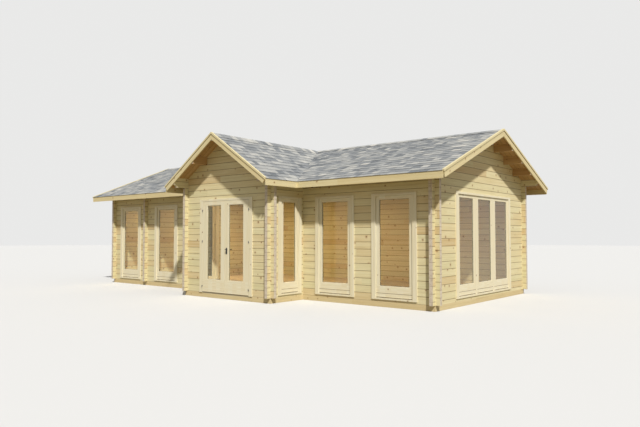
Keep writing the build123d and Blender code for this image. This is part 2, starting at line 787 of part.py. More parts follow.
def hinge(z):
    """A lower half on the frame and an upper half on the leaf."""
    half = hinge_length / 2
    gap = joint_play / 2
    return barrel(z - half, z - gap, 1), barrel(z + gap, z + half, -1)


leaf, pane = door_leaf()
halves = [hinge(z) for z in hinge_heights]
frame_halves = []
for word in ("right", "left"):
    shapes = [leaf, pane] + [high for _, high in halves] + [low for low, _ in halves]
    if word == "left":
        shapes = [mirror(shape, about=Plane.YZ) for shape in shapes]
    shapes = [place(shape, x_centre, y_room, 0) for shape in shapes]
    save(f"{word}_door_leaf", shapes[0])
    save(f"{word}_door_glass", shapes[1])
    save(f"{word}_leaf_hinges", *shapes[2:2 + len(halves)])
    frame_halves += shapes[2 + len(halves):]
save("frame_hinges", *frame_halves)

# Lever handle with its plates, on both faces of the right leaf.
plate_w, plate_h, plate_t = handle_plate
handle_x = leaf_meeting_gap / 2 + meeting_stile / 2
handles = []
for face, out in ((door_y0, -1), (door_y1, 1)):
    plate_face = face + out * plate_t
    lever_y = face + out * lever_reach
    z_plate = handle_height - plate_h / 2 + plate_w
    back_plate = block(handle_x - plate_w / 2, handle_x + plate_w / 2, min(face, plate_face),
                       max(face, plate_face), z_plate - plate_h / 2, z_plate + plate_h / 2)
    neck = block(handle_x - neck_width / 2, handle_x + neck_width / 2, min(face, lever_y), max(face, lever_y),
                 handle_height - lever_height / 2, handle_height + lever_height / 2)
    lever = block(handle_x - neck_width / 2, handle_x - neck_width / 2 + lever_length,
                  lever_y - lever_thickness / 2, lever_y + lever_thickness / 2,
                  handle_height - lever_height / 2, handle_height + lever_height / 2)
    handles.append(back_plate + neck + lever)
save("door_handle", *[place(h, x_centre, y_room, 0) for h in handles])
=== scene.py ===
import math

import bmesh
import bpy
import numpy as np
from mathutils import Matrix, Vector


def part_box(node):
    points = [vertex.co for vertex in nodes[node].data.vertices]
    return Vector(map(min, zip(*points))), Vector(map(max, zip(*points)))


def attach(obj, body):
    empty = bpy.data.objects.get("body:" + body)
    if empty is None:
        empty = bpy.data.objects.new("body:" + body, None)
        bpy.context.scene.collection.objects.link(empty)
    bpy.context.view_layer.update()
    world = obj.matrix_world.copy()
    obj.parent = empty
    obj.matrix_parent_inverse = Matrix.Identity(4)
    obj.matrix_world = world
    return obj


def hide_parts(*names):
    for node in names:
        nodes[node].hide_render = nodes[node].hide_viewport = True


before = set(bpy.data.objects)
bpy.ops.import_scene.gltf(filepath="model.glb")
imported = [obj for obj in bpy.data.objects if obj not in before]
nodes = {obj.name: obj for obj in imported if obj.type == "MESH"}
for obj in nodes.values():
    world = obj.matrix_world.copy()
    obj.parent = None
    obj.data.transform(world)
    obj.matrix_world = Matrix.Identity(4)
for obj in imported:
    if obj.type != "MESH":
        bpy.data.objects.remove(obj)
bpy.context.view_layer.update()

# Lengths are in metres. +X runs along the house to its glazed gable, +Y to the back, +Z up.
rng = np.random.default_rng(11)


# The camera stands at the photograph's place.
viewpoint = {
    "place": (9.833, -10.581, 1.304),
    "turn": 39.469,      # degrees to the left of +Y
    "tilt": 2.130,       # degrees above level
    "lens": 32.84,       # mm, on the sensor below
    "sensor": 36,        # mm wide
    "farthest": 400,     # m that it sees
}
camera = bpy.data.objects.new("camera", bpy.data.cameras.new("camera"))
bpy.context.scene.collection.objects.link(camera)
camera.location = viewpoint["place"]
camera.rotation_euler = (math.radians(90 + viewpoint["tilt"]), 0, math.radians(viewpoint["turn"]))
camera.data.lens = viewpoint["lens"]
camera.data.sensor_width = viewpoint["sensor"]
camera.data.clip_end = viewpoint["farthest"]
bpy.context.scene.camera = camera
print("camera placed")


def linear(code):
    # An sRGB hex value as linear red, green, blue and full alpha.
    parts = [int(code[i:i + 2], 16) / 255 for i in (0, 2, 4)]
    return tuple(p / 12.92 if p <= 0.04045 else ((p + 0.055) / 1.055) ** 2.4 for p in parts) + (1.0,)


def add(tree, kind, inputs=None, out=0, **settings):
    # Adds one node: settings are its properties, inputs are values or sockets to link. Gives one output.
    # Map Range takes 0 value, 1 and 2 from, 3 and 4 to. Mix takes 0 share, 2 and 3 numbers, 6 and 7 colours.
    node = tree.nodes.new(kind)
    for key, value in settings.items():
        setattr(node, key, value)
    for key, value in (inputs or {}).items():
        if isinstance(value, bpy.types.NodeSocket):
            tree.links.new(value, node.inputs[key])
        else:
            node.inputs[key].default_value = value
    return node.outputs[out]


def ramp(tree, value, stops):
    # Colours along a value, from pairs of a place and a hex colour.
    socket = add(tree, "ShaderNodeValToRGB", {0: value})
    elements = socket.node.color_ramp.elements
    while len(elements) < len(stops):
        elements.new(0.5)
    for element, (place, code) in zip(elements, stops):
        element.position = place
        element.color = linear(code)
    return socket


def newMaterial(name):
    # An empty material with its Principled shader.
    material = bpy.data.materials.new(name)
    material.use_nodes = True
    tree = material.node_tree
    tree.nodes.clear()
    shader = tree.nodes.new("ShaderNodeBsdfPrincipled")
    output = tree.nodes.new("ShaderNodeOutputMaterial")
    tree.links.new(shader.outputs[0], output.inputs[0])
    return material, tree, shader


def objectSpace(tree):
    # The Object coordinates as one socket, their X, Y and Z, and the normal's X, Y and Z.
    coords = add(tree, "ShaderNodeTexCoord").node
    place = add(tree, "ShaderNodeSeparateXYZ", {0: coords.outputs["Object"]}).node
    normal = add(tree, "ShaderNodeSeparateXYZ", {0: coords.outputs["Normal"]}).node
    return coords.outputs["Object"], place.outputs, normal.outputs


# Planed spruce and pine, bare: pale straw wood with long streaks, small dark knots and a dull surface.
wood = {
    "streaks": [(0.22, "b7a276"), (0.42, "d6ca9f"), (0.62, "e3dbb7"), (0.82, "eee8cf")],
    "tints": [(0.0, "c39f6b"), (0.16, "d6bf93"), (0.4, "e2d7ae"), (0.8, "e1dbb5"), (1.0, "d4d0a8")],
    "knotDark": "604026",
    "knotRim": "a8845a",
    # The gap colour is painted shade in log joints, joinery grooves and under the gable boards' strip; board
    # joints take it too.
    "gap": "755a38",
    "endGrain": [(0.25, "b3a593"), (0.55, "cfc5b6"), (0.85, "ddd6ca")],
    # The next colour is painted shade where the sawn log ends meet.
    "endJointShade": "a39480",
    "endBlotches": 22.0,         # a metre, so about 45 mm each
    "streakLength": 0.9,         # m
    "streakWidth": 0.028,        # m, coarser than real growth rings so that it shows
    "fibresAlong": 3.0,          # a metre
    "fibresAcross": 260.0,       # a metre, so about 4 mm each
    "fibreNoise": (0.3, 0.7),    # the part of the noise that shades
    "fibreShade": (0.90, 1.05),
    "knotSpacing": 0.26,         # m
    "knotRadius": 0.011,         # m
    "knotShare": 0.48,           # of the cells have one
    "knotSizes": (0.55, 1.35),
    "knotCore": 0.55,            # of the radius, fully dark inside it
    "rimReach": 3.2,             # radii
    "rimDepth": 0.55,
    "patternShift": 37.0,        # moves each piece's streaks and knots apart
}


def woodColour(tree, along, across, depth, piece, tintStrength, look=wood):
    # Streaks are noise stretched along the grain, knots are the centres of scattered cells, and each piece
    # has its own tint.
    shift = add(tree, "ShaderNodeMath", {0: piece, 1: look["patternShift"]}, operation="MULTIPLY")
    u = add(tree, "ShaderNodeMath", {0: along, 1: 1 / look["streakLength"], 2: shift},
            operation="MULTIPLY_ADD")
    v = add(tree, "ShaderNodeMath", {0: across, 1: 1 / look["streakWidth"], 2: shift},
            operation="MULTIPLY_ADD")
    w = add(tree, "ShaderNodeMath", {0: depth, 1: 1 / look["streakWidth"]}, operation="MULTIPLY")
    streakPlace = add(tree, "ShaderNodeCombineXYZ", {0: u, 1: v, 2: w})
    streak = add(tree, "ShaderNodeTexNoise", {"Vector": streakPlace, "Scale": 1.0, "Detail": 6.0,
                                              "Roughness": 0.62})
    fineU = add(tree, "ShaderNodeMath", {0: along, 1: look["fibresAlong"]}, operation="MULTIPLY")
    fineV = add(tree, "ShaderNodeMath", {0: across, 1: look["fibresAcross"]}, operation="MULTIPLY")
    fineW = add(tree, "ShaderNodeMath", {0: depth, 1: look["fibresAcross"]}, operation="MULTIPLY")
    finePlace = add(tree, "ShaderNodeCombineXYZ", {0: fineU, 1: fineV, 2: fineW})
    fine = add(tree, "ShaderNodeTexNoise", {"Vector": finePlace, "Scale": 1.0, "Detail": 3.0,
                                            "Roughness": 0.5})
    base = ramp(tree, streak, look["streaks"])
    tint = ramp(tree, piece, look["tints"])
    mixed = add(tree, "ShaderNodeMix", {0: tintStrength, 6: base, 7: tint}, out=2, data_type="RGBA")
    (low, high), (dark, light) = look["fibreNoise"], look["fibreShade"]
    grainShade = add(tree, "ShaderNodeMapRange", {0: fine, 1: low, 2: high, 3: dark, 4: light})
    grained = add(tree, "ShaderNodeVectorMath", {0: mixed, 1: grainShade}, operation="MULTIPLY")
    # Knots: a dark core with a softer rim three times as wide, on about half of the cells.
    ku = add(tree, "ShaderNodeMath", {0: along, 1: 1 / look["knotSpacing"], 2: shift},
             operation="MULTIPLY_ADD")
    kv = add(tree, "ShaderNodeMath", {0: across, 1: 1 / look["knotSpacing"]}, operation="MULTIPLY")
    knotPlace = add(tree, "ShaderNodeCombineXYZ", {0: ku, 1: kv})
    cell = add(tree, "ShaderNodeTexVoronoi", {"Vector": knotPlace, "Scale": 1.0},
               voronoi_dimensions="2D").node
    pick = add(tree, "ShaderNodeSeparateColor", {0: cell.outputs["Color"]}).node
    chosen = add(tree, "ShaderNodeMath", {0: pick.outputs[0], 1: 1 - look["knotShare"]},
                 operation="GREATER_THAN")
    small, large = look["knotSizes"]
    size = add(tree, "ShaderNodeMapRange", {0: pick.outputs[1], 3: small, 4: large})
    relative = add(tree, "ShaderNodeMath", {0: cell.outputs["Distance"], 1: size}, operation="DIVIDE")
    radius = look["knotRadius"] / look["knotSpacing"]
    core = add(tree, "ShaderNodeMapRange", {0: relative, 1: radius, 2: radius * look["knotCore"]})
    rim = add(tree, "ShaderNodeMapRange", {0: relative, 1: radius * look["rimReach"], 2: radius,
                                           4: look["rimDepth"]})
    rimOn = add(tree, "ShaderNodeMath", {0: rim, 1: chosen}, operation="MULTIPLY")
    coreOn = add(tree, "ShaderNodeMath", {0: core, 1: chosen}, operation="MULTIPLY")
    rimmed = add(tree, "ShaderNodeMix", {0: rimOn, 6: grained, 7: linear(look["knotRim"])}, out=2,
                 data_type="RGBA")
    knotted = add(tree, "ShaderNodeMix", {0: coreOn, 6: rimmed, 7: linear(look["knotDark"])}, out=2,
                  data_type="RGBA")
    height = add(tree, "ShaderNodeMath", {0: fine, 1: coreOn}, operation="SUBTRACT")
    return knotted, height


def endGrainColour(tree, place, look=wood):
    # Sawn ends: pinkish grey, mottled by blotches a few centimetres wide.
    blotch = add(tree, "ShaderNodeTexNoise", {"Vector": place, "Scale": look["endBlotches"], "Detail": 4.0,
                                              "Roughness": 0.6})
    return ramp(tree, blotch, look["endGrain"])


def looksAlong(tree, normal, least):
    # 1 on faces whose normal has at least this share along one axis, such as a log's sawn ends.
    facing = add(tree, "ShaderNodeMath", {0: normal}, operation="ABSOLUTE")
    return add(tree, "ShaderNodeMath", {0: facing, 1: least}, operation="GREATER_THAN")


# Planing leaves wood dull, with its grain standing up a little.
planing = {"roughness": 0.62, "smootherRoughness": 0.5, "specular": 0.35, "relief": 0.0006, "strength": 0.35,
           "endFacing": 0.8, "sideFacing": 0.6}


def finishWood(tree, shader, colour, height, roughness=planing["roughness"]):
    # Links a wood's colour and relief to the shader's sockets.
    bump = add(tree, "ShaderNodeBump", {"Strength": planing["strength"], "Distance": planing["relief"],
                                        "Height": height})
    tree.links.new(colour, shader.inputs["Base Color"])
    tree.links.new(bump, shader.inputs["Normal"])
    shader.inputs["Roughness"].default_value = roughness
    shader.inputs["IOR"].default_value = 1.5
    shader.inputs["Specular IOR Level"].default_value = planing["specular"]


# Wall logs. The first course starts at another height on each pair of walls, as cross-notched corners need.
# Each joint's painted shade fades between two multiples of half its width.
logs = {"height": 0.135, "firstX": 0.100, "firstY": 0.1675, "segment": 3.1, "gapHalf": 0.0038,
        "gapFade": (1.6, 0.35), "tint": 0.46}


def logMaterial(name, axis, first):
    # Wall logs: courses of one height, each with its own tint, and a painted shade line in every V joint.
    material, tree, shader = newMaterial(name)
    coords, place, normal = objectSpace(tree)
    along, depth, z = place[axis], place[1 - axis], place[2]
    course = add(tree, "ShaderNodeMapRange", {0: z, 1: first, 2: first + logs["height"]}, clamp=False)
    row = add(tree, "ShaderNodeMath", {0: course}, operation="FLOOR")
    rowShift = add(tree, "ShaderNodeTexWhiteNoise", {"W": row}, noise_dimensions="1D")
    stretch = add(tree, "ShaderNodeMath", {0: along, 1: 1 / logs["segment"], 2: rowShift},
                  operation="MULTIPLY_ADD")
    segment = add(tree, "ShaderNodeMath", {0: stretch}, operation="FLOOR")
    pair = add(tree, "ShaderNodeCombineXYZ", {0: row, 1: segment})
    piece = add(tree, "ShaderNodeTexWhiteNoise", {"Vector": pair}, noise_dimensions="2D")
    colour, height = woodColour(tree, along, z, depth, piece, logs["tint"])
    # The joint is where the course number is whole, so the distance is a triangle wave.
    half = add(tree, "ShaderNodeMath", {0: course, 1: 0.5}, operation="PINGPONG")
    reach = logs["gapHalf"] / logs["height"]
    outer, inner = logs["gapFade"]
    # Painted shade: the V groove's shadow as a darker line on the logs' faces and on their sawn ends.
    gap = add(tree, "ShaderNodeMapRange", {0: half, 1: reach * outer, 2: reach * inner})
    gapped = add(tree, "ShaderNodeMix", {0: gap, 6: colour, 7: linear(wood["gap"])}, out=2,
                 data_type="RGBA")
    endsGapped = add(tree, "ShaderNodeMix", {0: gap, 6: endGrainColour(tree, coords),
                                             7: linear(wood["endJointShade"])}, out=2, data_type="RGBA")
    sawn = looksAlong(tree, normal[axis], planing["endFacing"])
    final = add(tree, "ShaderNodeMix", {0: sawn, 6: gapped, 7: endsGapped}, out=2, data_type="RGBA")
    finishWood(tree, shader, final, height)
    return material


# Roof and floor boards, with the width of each and half the width of their joints.
boards = {"roofWidth": 0.096, "floorWidth": 0.121, "gapHalf": 0.003, "gapFade": (1.5, 0.4), "tint": 0.55}


def boardMaterial(name, axis, width, look, roughness):
    # Boards that run along one axis, side by side in the other, with a dark joint between them.
    material, tree, shader = newMaterial(name)
    coords, place, normal = objectSpace(tree)
    along, across, z = place[axis], place[1 - axis], place[2]
    count = add(tree, "ShaderNodeMath", {0: across, 1: 1 / width}, operation="MULTIPLY")
    row = add(tree, "ShaderNodeMath", {0: count}, operation="FLOOR")
    piece = add(tree, "ShaderNodeTexWhiteNoise", {"W": row}, noise_dimensions="1D")
    colour, height = woodColour(tree, along, across, z, piece, boards["tint"], look)
    half = add(tree, "ShaderNodeMath", {0: count, 1: 0.5}, operation="PINGPONG")
    reach = boards["gapHalf"] / width
    outer, inner = boards["gapFade"]
    gap = add(tree, "ShaderNodeMapRange", {0: half, 1: outer * reach, 2: inner * reach})
    gapped = add(tree, "ShaderNodeMix", {0: gap, 6: colour, 7: linear(look["gap"])}, out=2,
                 data_type="RGBA")
    finishWood(tree, shader, gapped, height, roughness)
    return material


# Beams and boards on edge change their tint from bay to bay, with so many bays a metre.
beams = {"baysAcross": 2.2, "wrappedBays": 0.31, "tint": 0.4}


def beamMaterial(name, axis, look):
    # Squared timber along one axis; faces across that axis show end grain.
    material, tree, shader = newMaterial(name)
    coords, place, normal = objectSpace(tree)
    along, across, z = place[axis], place[1 - axis], place[2]
    bay = add(tree, "ShaderNodeMath", {0: across, 1: beams["baysAcross"]}, operation="MULTIPLY")
    row = add(tree, "ShaderNodeMath", {0: bay}, operation="ROUND")
    piece = add(tree, "ShaderNodeTexWhiteNoise", {"W": row}, noise_dimensions="1D")
    colour, height = woodColour(tree, along, z, across, piece, beams["tint"], look)
    sawn = looksAlong(tree, normal[axis], planing["endFacing"])
    final = add(tree, "ShaderNodeMix", {0: sawn, 6: colour, 7: endGrainColour(tree, coords, look)}, out=2,
                data_type="RGBA")
    finishWood(tree, shader, final, height)
    return material


def wrappedBeamMaterial(name, look):
    # Boards on edge round the house: the grain follows X on faces towards Y, and Y on faces towards X.
    material, tree, shader = newMaterial(name)
    coords, place, normal = objectSpace(tree)
    side = looksAlong(tree, normal[0], planing["sideFacing"])
    along = add(tree, "ShaderNodeMix", {0: side, 2: place[0], 3: place[1]})
    length = add(tree, "ShaderNodeMath", {0: along, 1: beams["wrappedBays"], 2: side},
                 operation="MULTIPLY_ADD")
    row = add(tree, "ShaderNodeMath", {0: length}, operation="FLOOR")
    piece = add(tree, "ShaderNodeTexWhiteNoise", {"W": row}, noise_dimensions="1D")
    colour, height = woodColour(tree, along, place[2], place[2], piece, beams["tint"], look)
    finishWood(tree, shader, colour, height)
    return material


# Gable boards, measured down from their top: a cover strip, and the middle of the painted shadow line that
# the strip throws under it.
gableBoards = {"pitch": math.radians(22), "strip": 0.040, "line": 0.0445, "shadowSoft": 0.0056,
               "shadowHalf": 0.0040, "shadowDepth": 0.9, "tint": 0.35}


def rakeMaterial(name, axis, centre, pitch, top, look):
    # The grain follows the roof's slope on both sides of the ridge, and a painted shadow line lies under the
    # strip.
    material, tree, shader = newMaterial(name)
    coords, place, normal = objectSpace(tree)
    offset = add(tree, "ShaderNodeMath", {0: place[axis], 1: centre}, operation="SUBTRACT")
    run = add(tree, "ShaderNodeMath", {0: offset}, operation="ABSOLUTE")
    side = add(tree, "ShaderNodeMath", {0: offset, 1: 0.0}, operation="GREATER_THAN")
    along = add(tree, "ShaderNodeMath", {0: run, 1: 1 / math.cos(pitch)}, operation="MULTIPLY")
    across = add(tree, "ShaderNodeMath", {0: run, 1: math.tan(pitch), 2: place[2]}, operation="MULTIPLY_ADD")
    fall = add(tree, "ShaderNodeMath", {0: top, 1: across}, operation="SUBTRACT")
    onStrip = add(tree, "ShaderNodeMath", {0: fall, 1: gableBoards["strip"]}, operation="LESS_THAN")
    code = add(tree, "ShaderNodeMath", {0: onStrip, 1: 2.0, 2: side}, operation="MULTIPLY_ADD")
    piece = add(tree, "ShaderNodeTexWhiteNoise", {"W": code}, noise_dimensions="1D")
    colour, height = woodColour(tree, along, across, place[1 - axis], piece, gableBoards["tint"], look)
    # Painted shadow: a darker line just under the proud cover strip.
    away = add(tree, "ShaderNodeMath", {0: fall, 1: gableBoards["line"]}, operation="SUBTRACT")
    near = add(tree, "ShaderNodeMath", {0: away}, operation="ABSOLUTE")
    line = add(tree, "ShaderNodeMapRange", {0: near, 1: gableBoards["shadowSoft"],
                                            2: gableBoards["shadowHalf"], 4: gableBoards["shadowDepth"]})
    lined = add(tree, "ShaderNodeMix", {0: line, 6: colour, 7: linear(look["gap"])}, out=2,
                data_type="RGBA")
    finishWood(tree, shader, lined, height)
    return material


# Windows and doors. Rails lie below low and above high. Each line is painted shade in a groove or under a
# drip
# edge: its height, half its width and how dark it is. On the glazed gable they all sit a little higher.
joinery = {
    "casings": {"low": 0.13, "high": 2.024, "shadeLines": []},
    "sashes": {"low": 0.37, "high": 1.965, "shadeLines": [(0.248, 0.0045, 0.75), (0.173, 0.006, 0.8)]},
    "leaves": {"low": 0.373, "high": 1.933, "shadeLines": [(0.110, 0.006, 0.8)]},
    "gableFrom": 4.9,      # m along X
    "gableRaise": 0.015,   # m
    "stilesPerMetre": 8.0,
    "shadeLineFade": (1.15, 0.85),
    "tint": 0.25,
}


def joineryMaterial(name, part):
    # Upright grain in stiles and casings, level grain in the rails below and above the glass.
    low, high = joinery[part]["low"], joinery[part]["high"]
    outer, inner = joinery["shadeLineFade"]
    look = joineryWood
    material, tree, shader = newMaterial(name)
    coords, place, normal = objectSpace(tree)
    level = add(tree, "ShaderNodeMath", {0: place[0], 1: place[1]}, operation="ADD")
    under = add(tree, "ShaderNodeMath", {0: place[2], 1: low}, operation="LESS_THAN")
    over = add(tree, "ShaderNodeMath", {0: place[2], 1: high}, operation="GREATER_THAN")
    rail = add(tree, "ShaderNodeMath", {0: under, 1: over}, operation="ADD", use_clamp=True)
    along = add(tree, "ShaderNodeMix", {0: rail, 2: place[2], 3: level})
    across = add(tree, "ShaderNodeMix", {0: rail, 2: level, 3: place[2]})
    slot = add(tree, "ShaderNodeMath", {0: level, 1: joinery["stilesPerMetre"]}, operation="MULTIPLY")
    row = add(tree, "ShaderNodeMath", {0: slot}, operation="FLOOR")
    code = add(tree, "ShaderNodeMath", {0: row, 1: rail}, operation="ADD")
    piece = add(tree, "ShaderNodeTexWhiteNoise", {"W": code}, noise_dimensions="1D")
    colour, height = woodColour(tree, along, across, across, piece, joinery["tint"], look)
    inGable = add(tree, "ShaderNodeMath", {0: place[0], 1: joinery["gableFrom"]}, operation="GREATER_THAN")
    raised = add(tree, "ShaderNodeMath", {0: inGable, 1: -joinery["gableRaise"], 2: place[2]},
                 operation="MULTIPLY_ADD")
    # Painted shade: a darker band in each groove and under each drip edge.
    for middle, half, depth in joinery[part]["shadeLines"]:
        away = add(tree, "ShaderNodeMath", {0: raised, 1: middle}, operation="SUBTRACT")
        near = add(tree, "ShaderNodeMath", {0: away}, operation="ABSOLUTE")
        line = add(tree, "ShaderNodeMapRange", {0: near, 1: half * outer, 2: half * inner, 4: depth})
        colour = add(tree, "ShaderNodeMix", {0: line, 6: colour, 7: linear(look["gap"])}, out=2,
                     data_type="RGBA")
    finishWood(tree, shader, colour, height, planing["smootherRoughness"])
    return material


# The IOR is under a single pane's 1.5, so that as much of the room shows as in the photograph.
glazingLook = {"tint": "f0f2f0", "passes": "e9ebe8", "ior": 1.33}


def glassMaterial():
    # Clear double glazing is a mirror at low angles and shows the room straight on. It throws no shadow.
    material, tree, shader = newMaterial("clearDoubleGlazing")
    shader.inputs["Base Color"].default_value = linear(glazingLook["tint"])
    shader.inputs["Roughness"].default_value = 0.0
    shader.inputs["IOR"].default_value = glazingLook["ior"]
    shader.inputs["Transmission Weight"].default_value = 1.0
    path = add(tree, "ShaderNodeLightPath").node.outputs
    soft = add(tree, "ShaderNodeMath", {0: path["Is Shadow Ray"], 1: path["Is Diffuse Ray"]},
               operation="MAXIMUM")
    clear = add(tree, "ShaderNodeBsdfTransparent", {"Color": linear(glazingLook["passes"])})
    mixed = add(tree, "ShaderNodeMixShader", {0: soft, 1: shader.outputs[0], 2: clear})
    tree.links.new(mixed, tree.get_output_node("ALL").inputs[0])
    return material


# Faint handling marks, about 17 mm each, which make the gloss of metal and rubber uneven.
marks = {"perMetre": 60.0, "smoother": 0.06, "rougher": 0.08}


def hardwareMaterial(name, colour, metallic, roughness):
    # Hardware and seals: one plain colour with an uneven gloss.
    material, tree, shader = newMaterial(name)
    coords = add(tree, "ShaderNodeTexCoord").node
    smear = add(tree, "ShaderNodeTexNoise", {"Vector": coords.outputs["Object"],
                                             "Scale": marks["perMetre"], "Detail": 3.0})
    gloss = add(tree, "ShaderNodeMapRange", {0: smear, 3: roughness - marks["smoother"],
                                             4: roughness + marks["rougher"]})
    tree.links.new(gloss, shader.inputs["Roughness"])
    shader.inputs["Base Color"].default_value = linear(colour)
    shader.inputs["Metallic"].default_value = metallic
    return material


# The other timbers differ from the logs: joinery and trim are paler and sorted, the roof's wood is browner.
joineryWood = dict(wood, streaks=[(0.2, "d6c9a1"), (0.42, "e3dabb"), (0.65, "ebe6d1"), (0.85, "f2efe1")],
                   tints=[(0.0, "e3d8b9"), (0.5, "ebe6d0"), (1.0, "e9e8d7")],
                   knotSpacing=0.42, knotRadius=0.007)
trimWood = dict(wood, streaks=[(0.2, "c6b280"), (0.42, "d5c698"), (0.65, "e0d5ae"), (0.85, "e9e1c2")],
                tints=[(0.0, "d3c092"), (0.5, "ddd2ab"), (1.0, "dcd6b4")], knotSpacing=0.34, knotRadius=0.010)
roofWood = dict(wood, streaks=[(0.2, "9c7447"), (0.42, "b8935f"), (0.65, "c8a674"), (0.85, "d4b78a")],
                tints=[(0.0, "b08a58"), (0.5, "c09c6a"), (1.0, "cbac7e")])
baseWood = dict(wood, streaks=[(0.2, "bda87b"), (0.42, "d1c094"), (0.65, "decfa8"), (0.85, "e7dbba")],
                tints=[(0.0, "cab587"), (0.5, "d6c69c"), (1.0, "dacda7")])
floorWood = dict(wood, streaks=[(0.2, "bca886"), (0.42, "c8b697"), (0.65, "d1c2a5"), (0.85, "dacdb4")],
                 tints=[(0.0, "c2ad8a"), (0.5, "ccba9c"), (1.0, "d1c3a8")])

# The roof's lines, from the gable boards' boxes. The front gable is narrower and as high, so it is steeper.
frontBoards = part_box("gable_boards_front")
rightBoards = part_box("gable_boards_right")
centreX = (frontBoards[0].x + frontBoards[1].x) / 2
ridgeY = (rightBoards[0].y + rightBoards[1].y) / 2
frontRun = (frontBoards[1].x - frontBoards[0].x) / 2
mainRun = (rightBoards[1].y - rightBoards[0].y) / 2
mainPitch = gableBoards["pitch"]
mainSlope = math.tan(mainPitch)
frontPitch = math.atan(mainRun * mainSlope / frontRun)
frontSlope = math.tan(frontPitch)

blackMetal = hardwareMaterial("blackPowderCoat", "141414", metallic=0.0, roughness=0.42)
zinc = hardwareMaterial("zincPlatedSteel", "8d8a84", metallic=1.0, roughness=0.38)
sashFinish = joineryMaterial("planedSashes", "sashes")
leafFinish = joineryMaterial("planedDoorLeaves", "leaves")
finishes = {
    logMaterial("spruceLogsAlongHouse", 0, logs["firstX"]): [
        "front_wall_left", "front_wall_right", "back_wall", "door_side_walls", "front_gable_wall"],
    logMaterial("spruceLogsAcrossHouse", 1, logs["firstY"]): [
        "right_gable_wall", "left_gable_wall", "partition_wall_beside", "partition_wall_over",
        "front_room_left_wall", "front_room_right_wall"],
    wrappedBeamMaterial("impregnatedBaseTimber", baseWood): ["foundation_beams", "floor_joists"],
    wrappedBeamMaterial("planedEaveBoards", trimWood): ["eave_fascias"],
    rakeMaterial("planedGableBoards", 1, ridgeY, mainPitch, rightBoards[1].z, trimWood): [
        "gable_boards_left", "gable_boards_right"],
    rakeMaterial("planedFrontGableBoards", 0, centreX, frontPitch, frontBoards[1].z, trimWood): [
        "gable_boards_front"],
    joineryMaterial("planedCasings", "casings"): ["window_frames", "gable_window_frame", "door_frame"],
    sashFinish: ["window_sashes"],
    leafFinish: ["left_door_leaf", "right_door_leaf"],
    boardMaterial("roofBoardsDownMainSlope", 1, boards["roofWidth"], roofWood, planing["roughness"]): [
        "roof_boards_back", "roof_boards_left", "roof_boards_right"],
    boardMaterial("roofBoardsDownFrontSlope", 0, boards["roofWidth"], roofWood, planing["roughness"]): [
        "roof_boards_front_gable"],
    beamMaterial("roofBeamsAlongHouse", 0, roofWood): ["ridge_beam", "purlins_back", "purlins_front"],
    beamMaterial("roofBeamsToFront", 1, roofWood): ["front_gable_purlins", "valley_rafters"],
    boardMaterial("planedFloorBoards", 0, boards["floorWidth"], floorWood,
                  planing["smootherRoughness"]): ["floor_boards"],
    glassMaterial(): ["window_glass", "left_door_glass", "right_door_glass"],
    zinc: ["frame_hinges", "left_leaf_hinges", "right_leaf_hinges"],
    blackMetal: ["door_handle"],
}
for material, names in finishes.items():
    for name in names:
        nodes[name].data.materials.clear()
        nodes[name].data.materials.append(material)
print("materials made")


def meshPiece(name, vertices, faces, material, body, slot):
    # Makes a mesh object from arrays, with its finish and its body. Its slot is not used.
    mesh = bpy.data.meshes.new(name)
    mesh.from_pydata(np.asarray(vertices, float).reshape(-1, 3).tolist(), [], faces)
    mesh.update()
    piece = bpy.data.objects.new(name, mesh)
    bpy.context.scene.collection.objects.link(piece)
    piece.data.materials.append(material)
    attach(piece, body)
    return piece


def pointValues(piece, name, values):
    # One number on each vertex, which the finish reads by its name.
    attribute = piece.data.attributes.new(name, "FLOAT", "POINT")
    attribute.data.foreach_set("value", np.asarray(values, np.float32))


def faceOutwards(piece):
    # Turns every face of a closed mesh outwards.
    mesh = bmesh.new()
    mesh.from_mesh(piece.data)
    bmesh.ops.recalc_face_normals(mesh, faces=mesh.faces)
    mesh.to_mesh(piece.data)
    mesh.free()


# Laminated shingles in courses, each tab a thin wedge whose lower edge lies over the course below.
shingles = {
    "course": 0.143,          # m down the slope
    "widths": (0.08, 0.24),   # m
    "smallest": 0.012,        # m, so no slivers at the ends of a course
    "overlap": 0.02,          # m under the course above
    "hiddenEdge": 0.0012,     # m thick under the course above
    "lift": 0.0052,           # m thick at a tab's lower edge
    "thick": 0.0035,          # m more on the raised tabs
    "raisedShare": 0.45,
    "tones": (0.5, 0.19),     # middle and spread
    "flatDarker": 0.12,
    "sheetRise": 0.007,       # m that the plain sheets stand in for
    "drawnBack": 0.0035,      # m, so that raised tabs don't pass the eaves
}
# Their granules: slate to pale grey. Grit and patches are added to a tab's tone, and the ramp's range is set
# to what that sum reaches.
granules = {
    "colours": [(0.08, "6a6f75"), (0.32, "888c91"), (0.55, "a4a6a6"), (0.85, "c4c3bf")],
    "gritPerMetre": 320.0,
    "gritWeight": 0.45,
    "gritRelief": 0.0015,     # m
    "patchesPerMetre": 9.0,
    "patchWeight": 0.40,
    "shadow": -0.34,          # of the tone, at a tab's upper edge
    "shadowSpan": (0.12, 0.42),
    "span": (0.25, 1.60),
    "roughness": 0.92,
    "specular": 0.2,
}


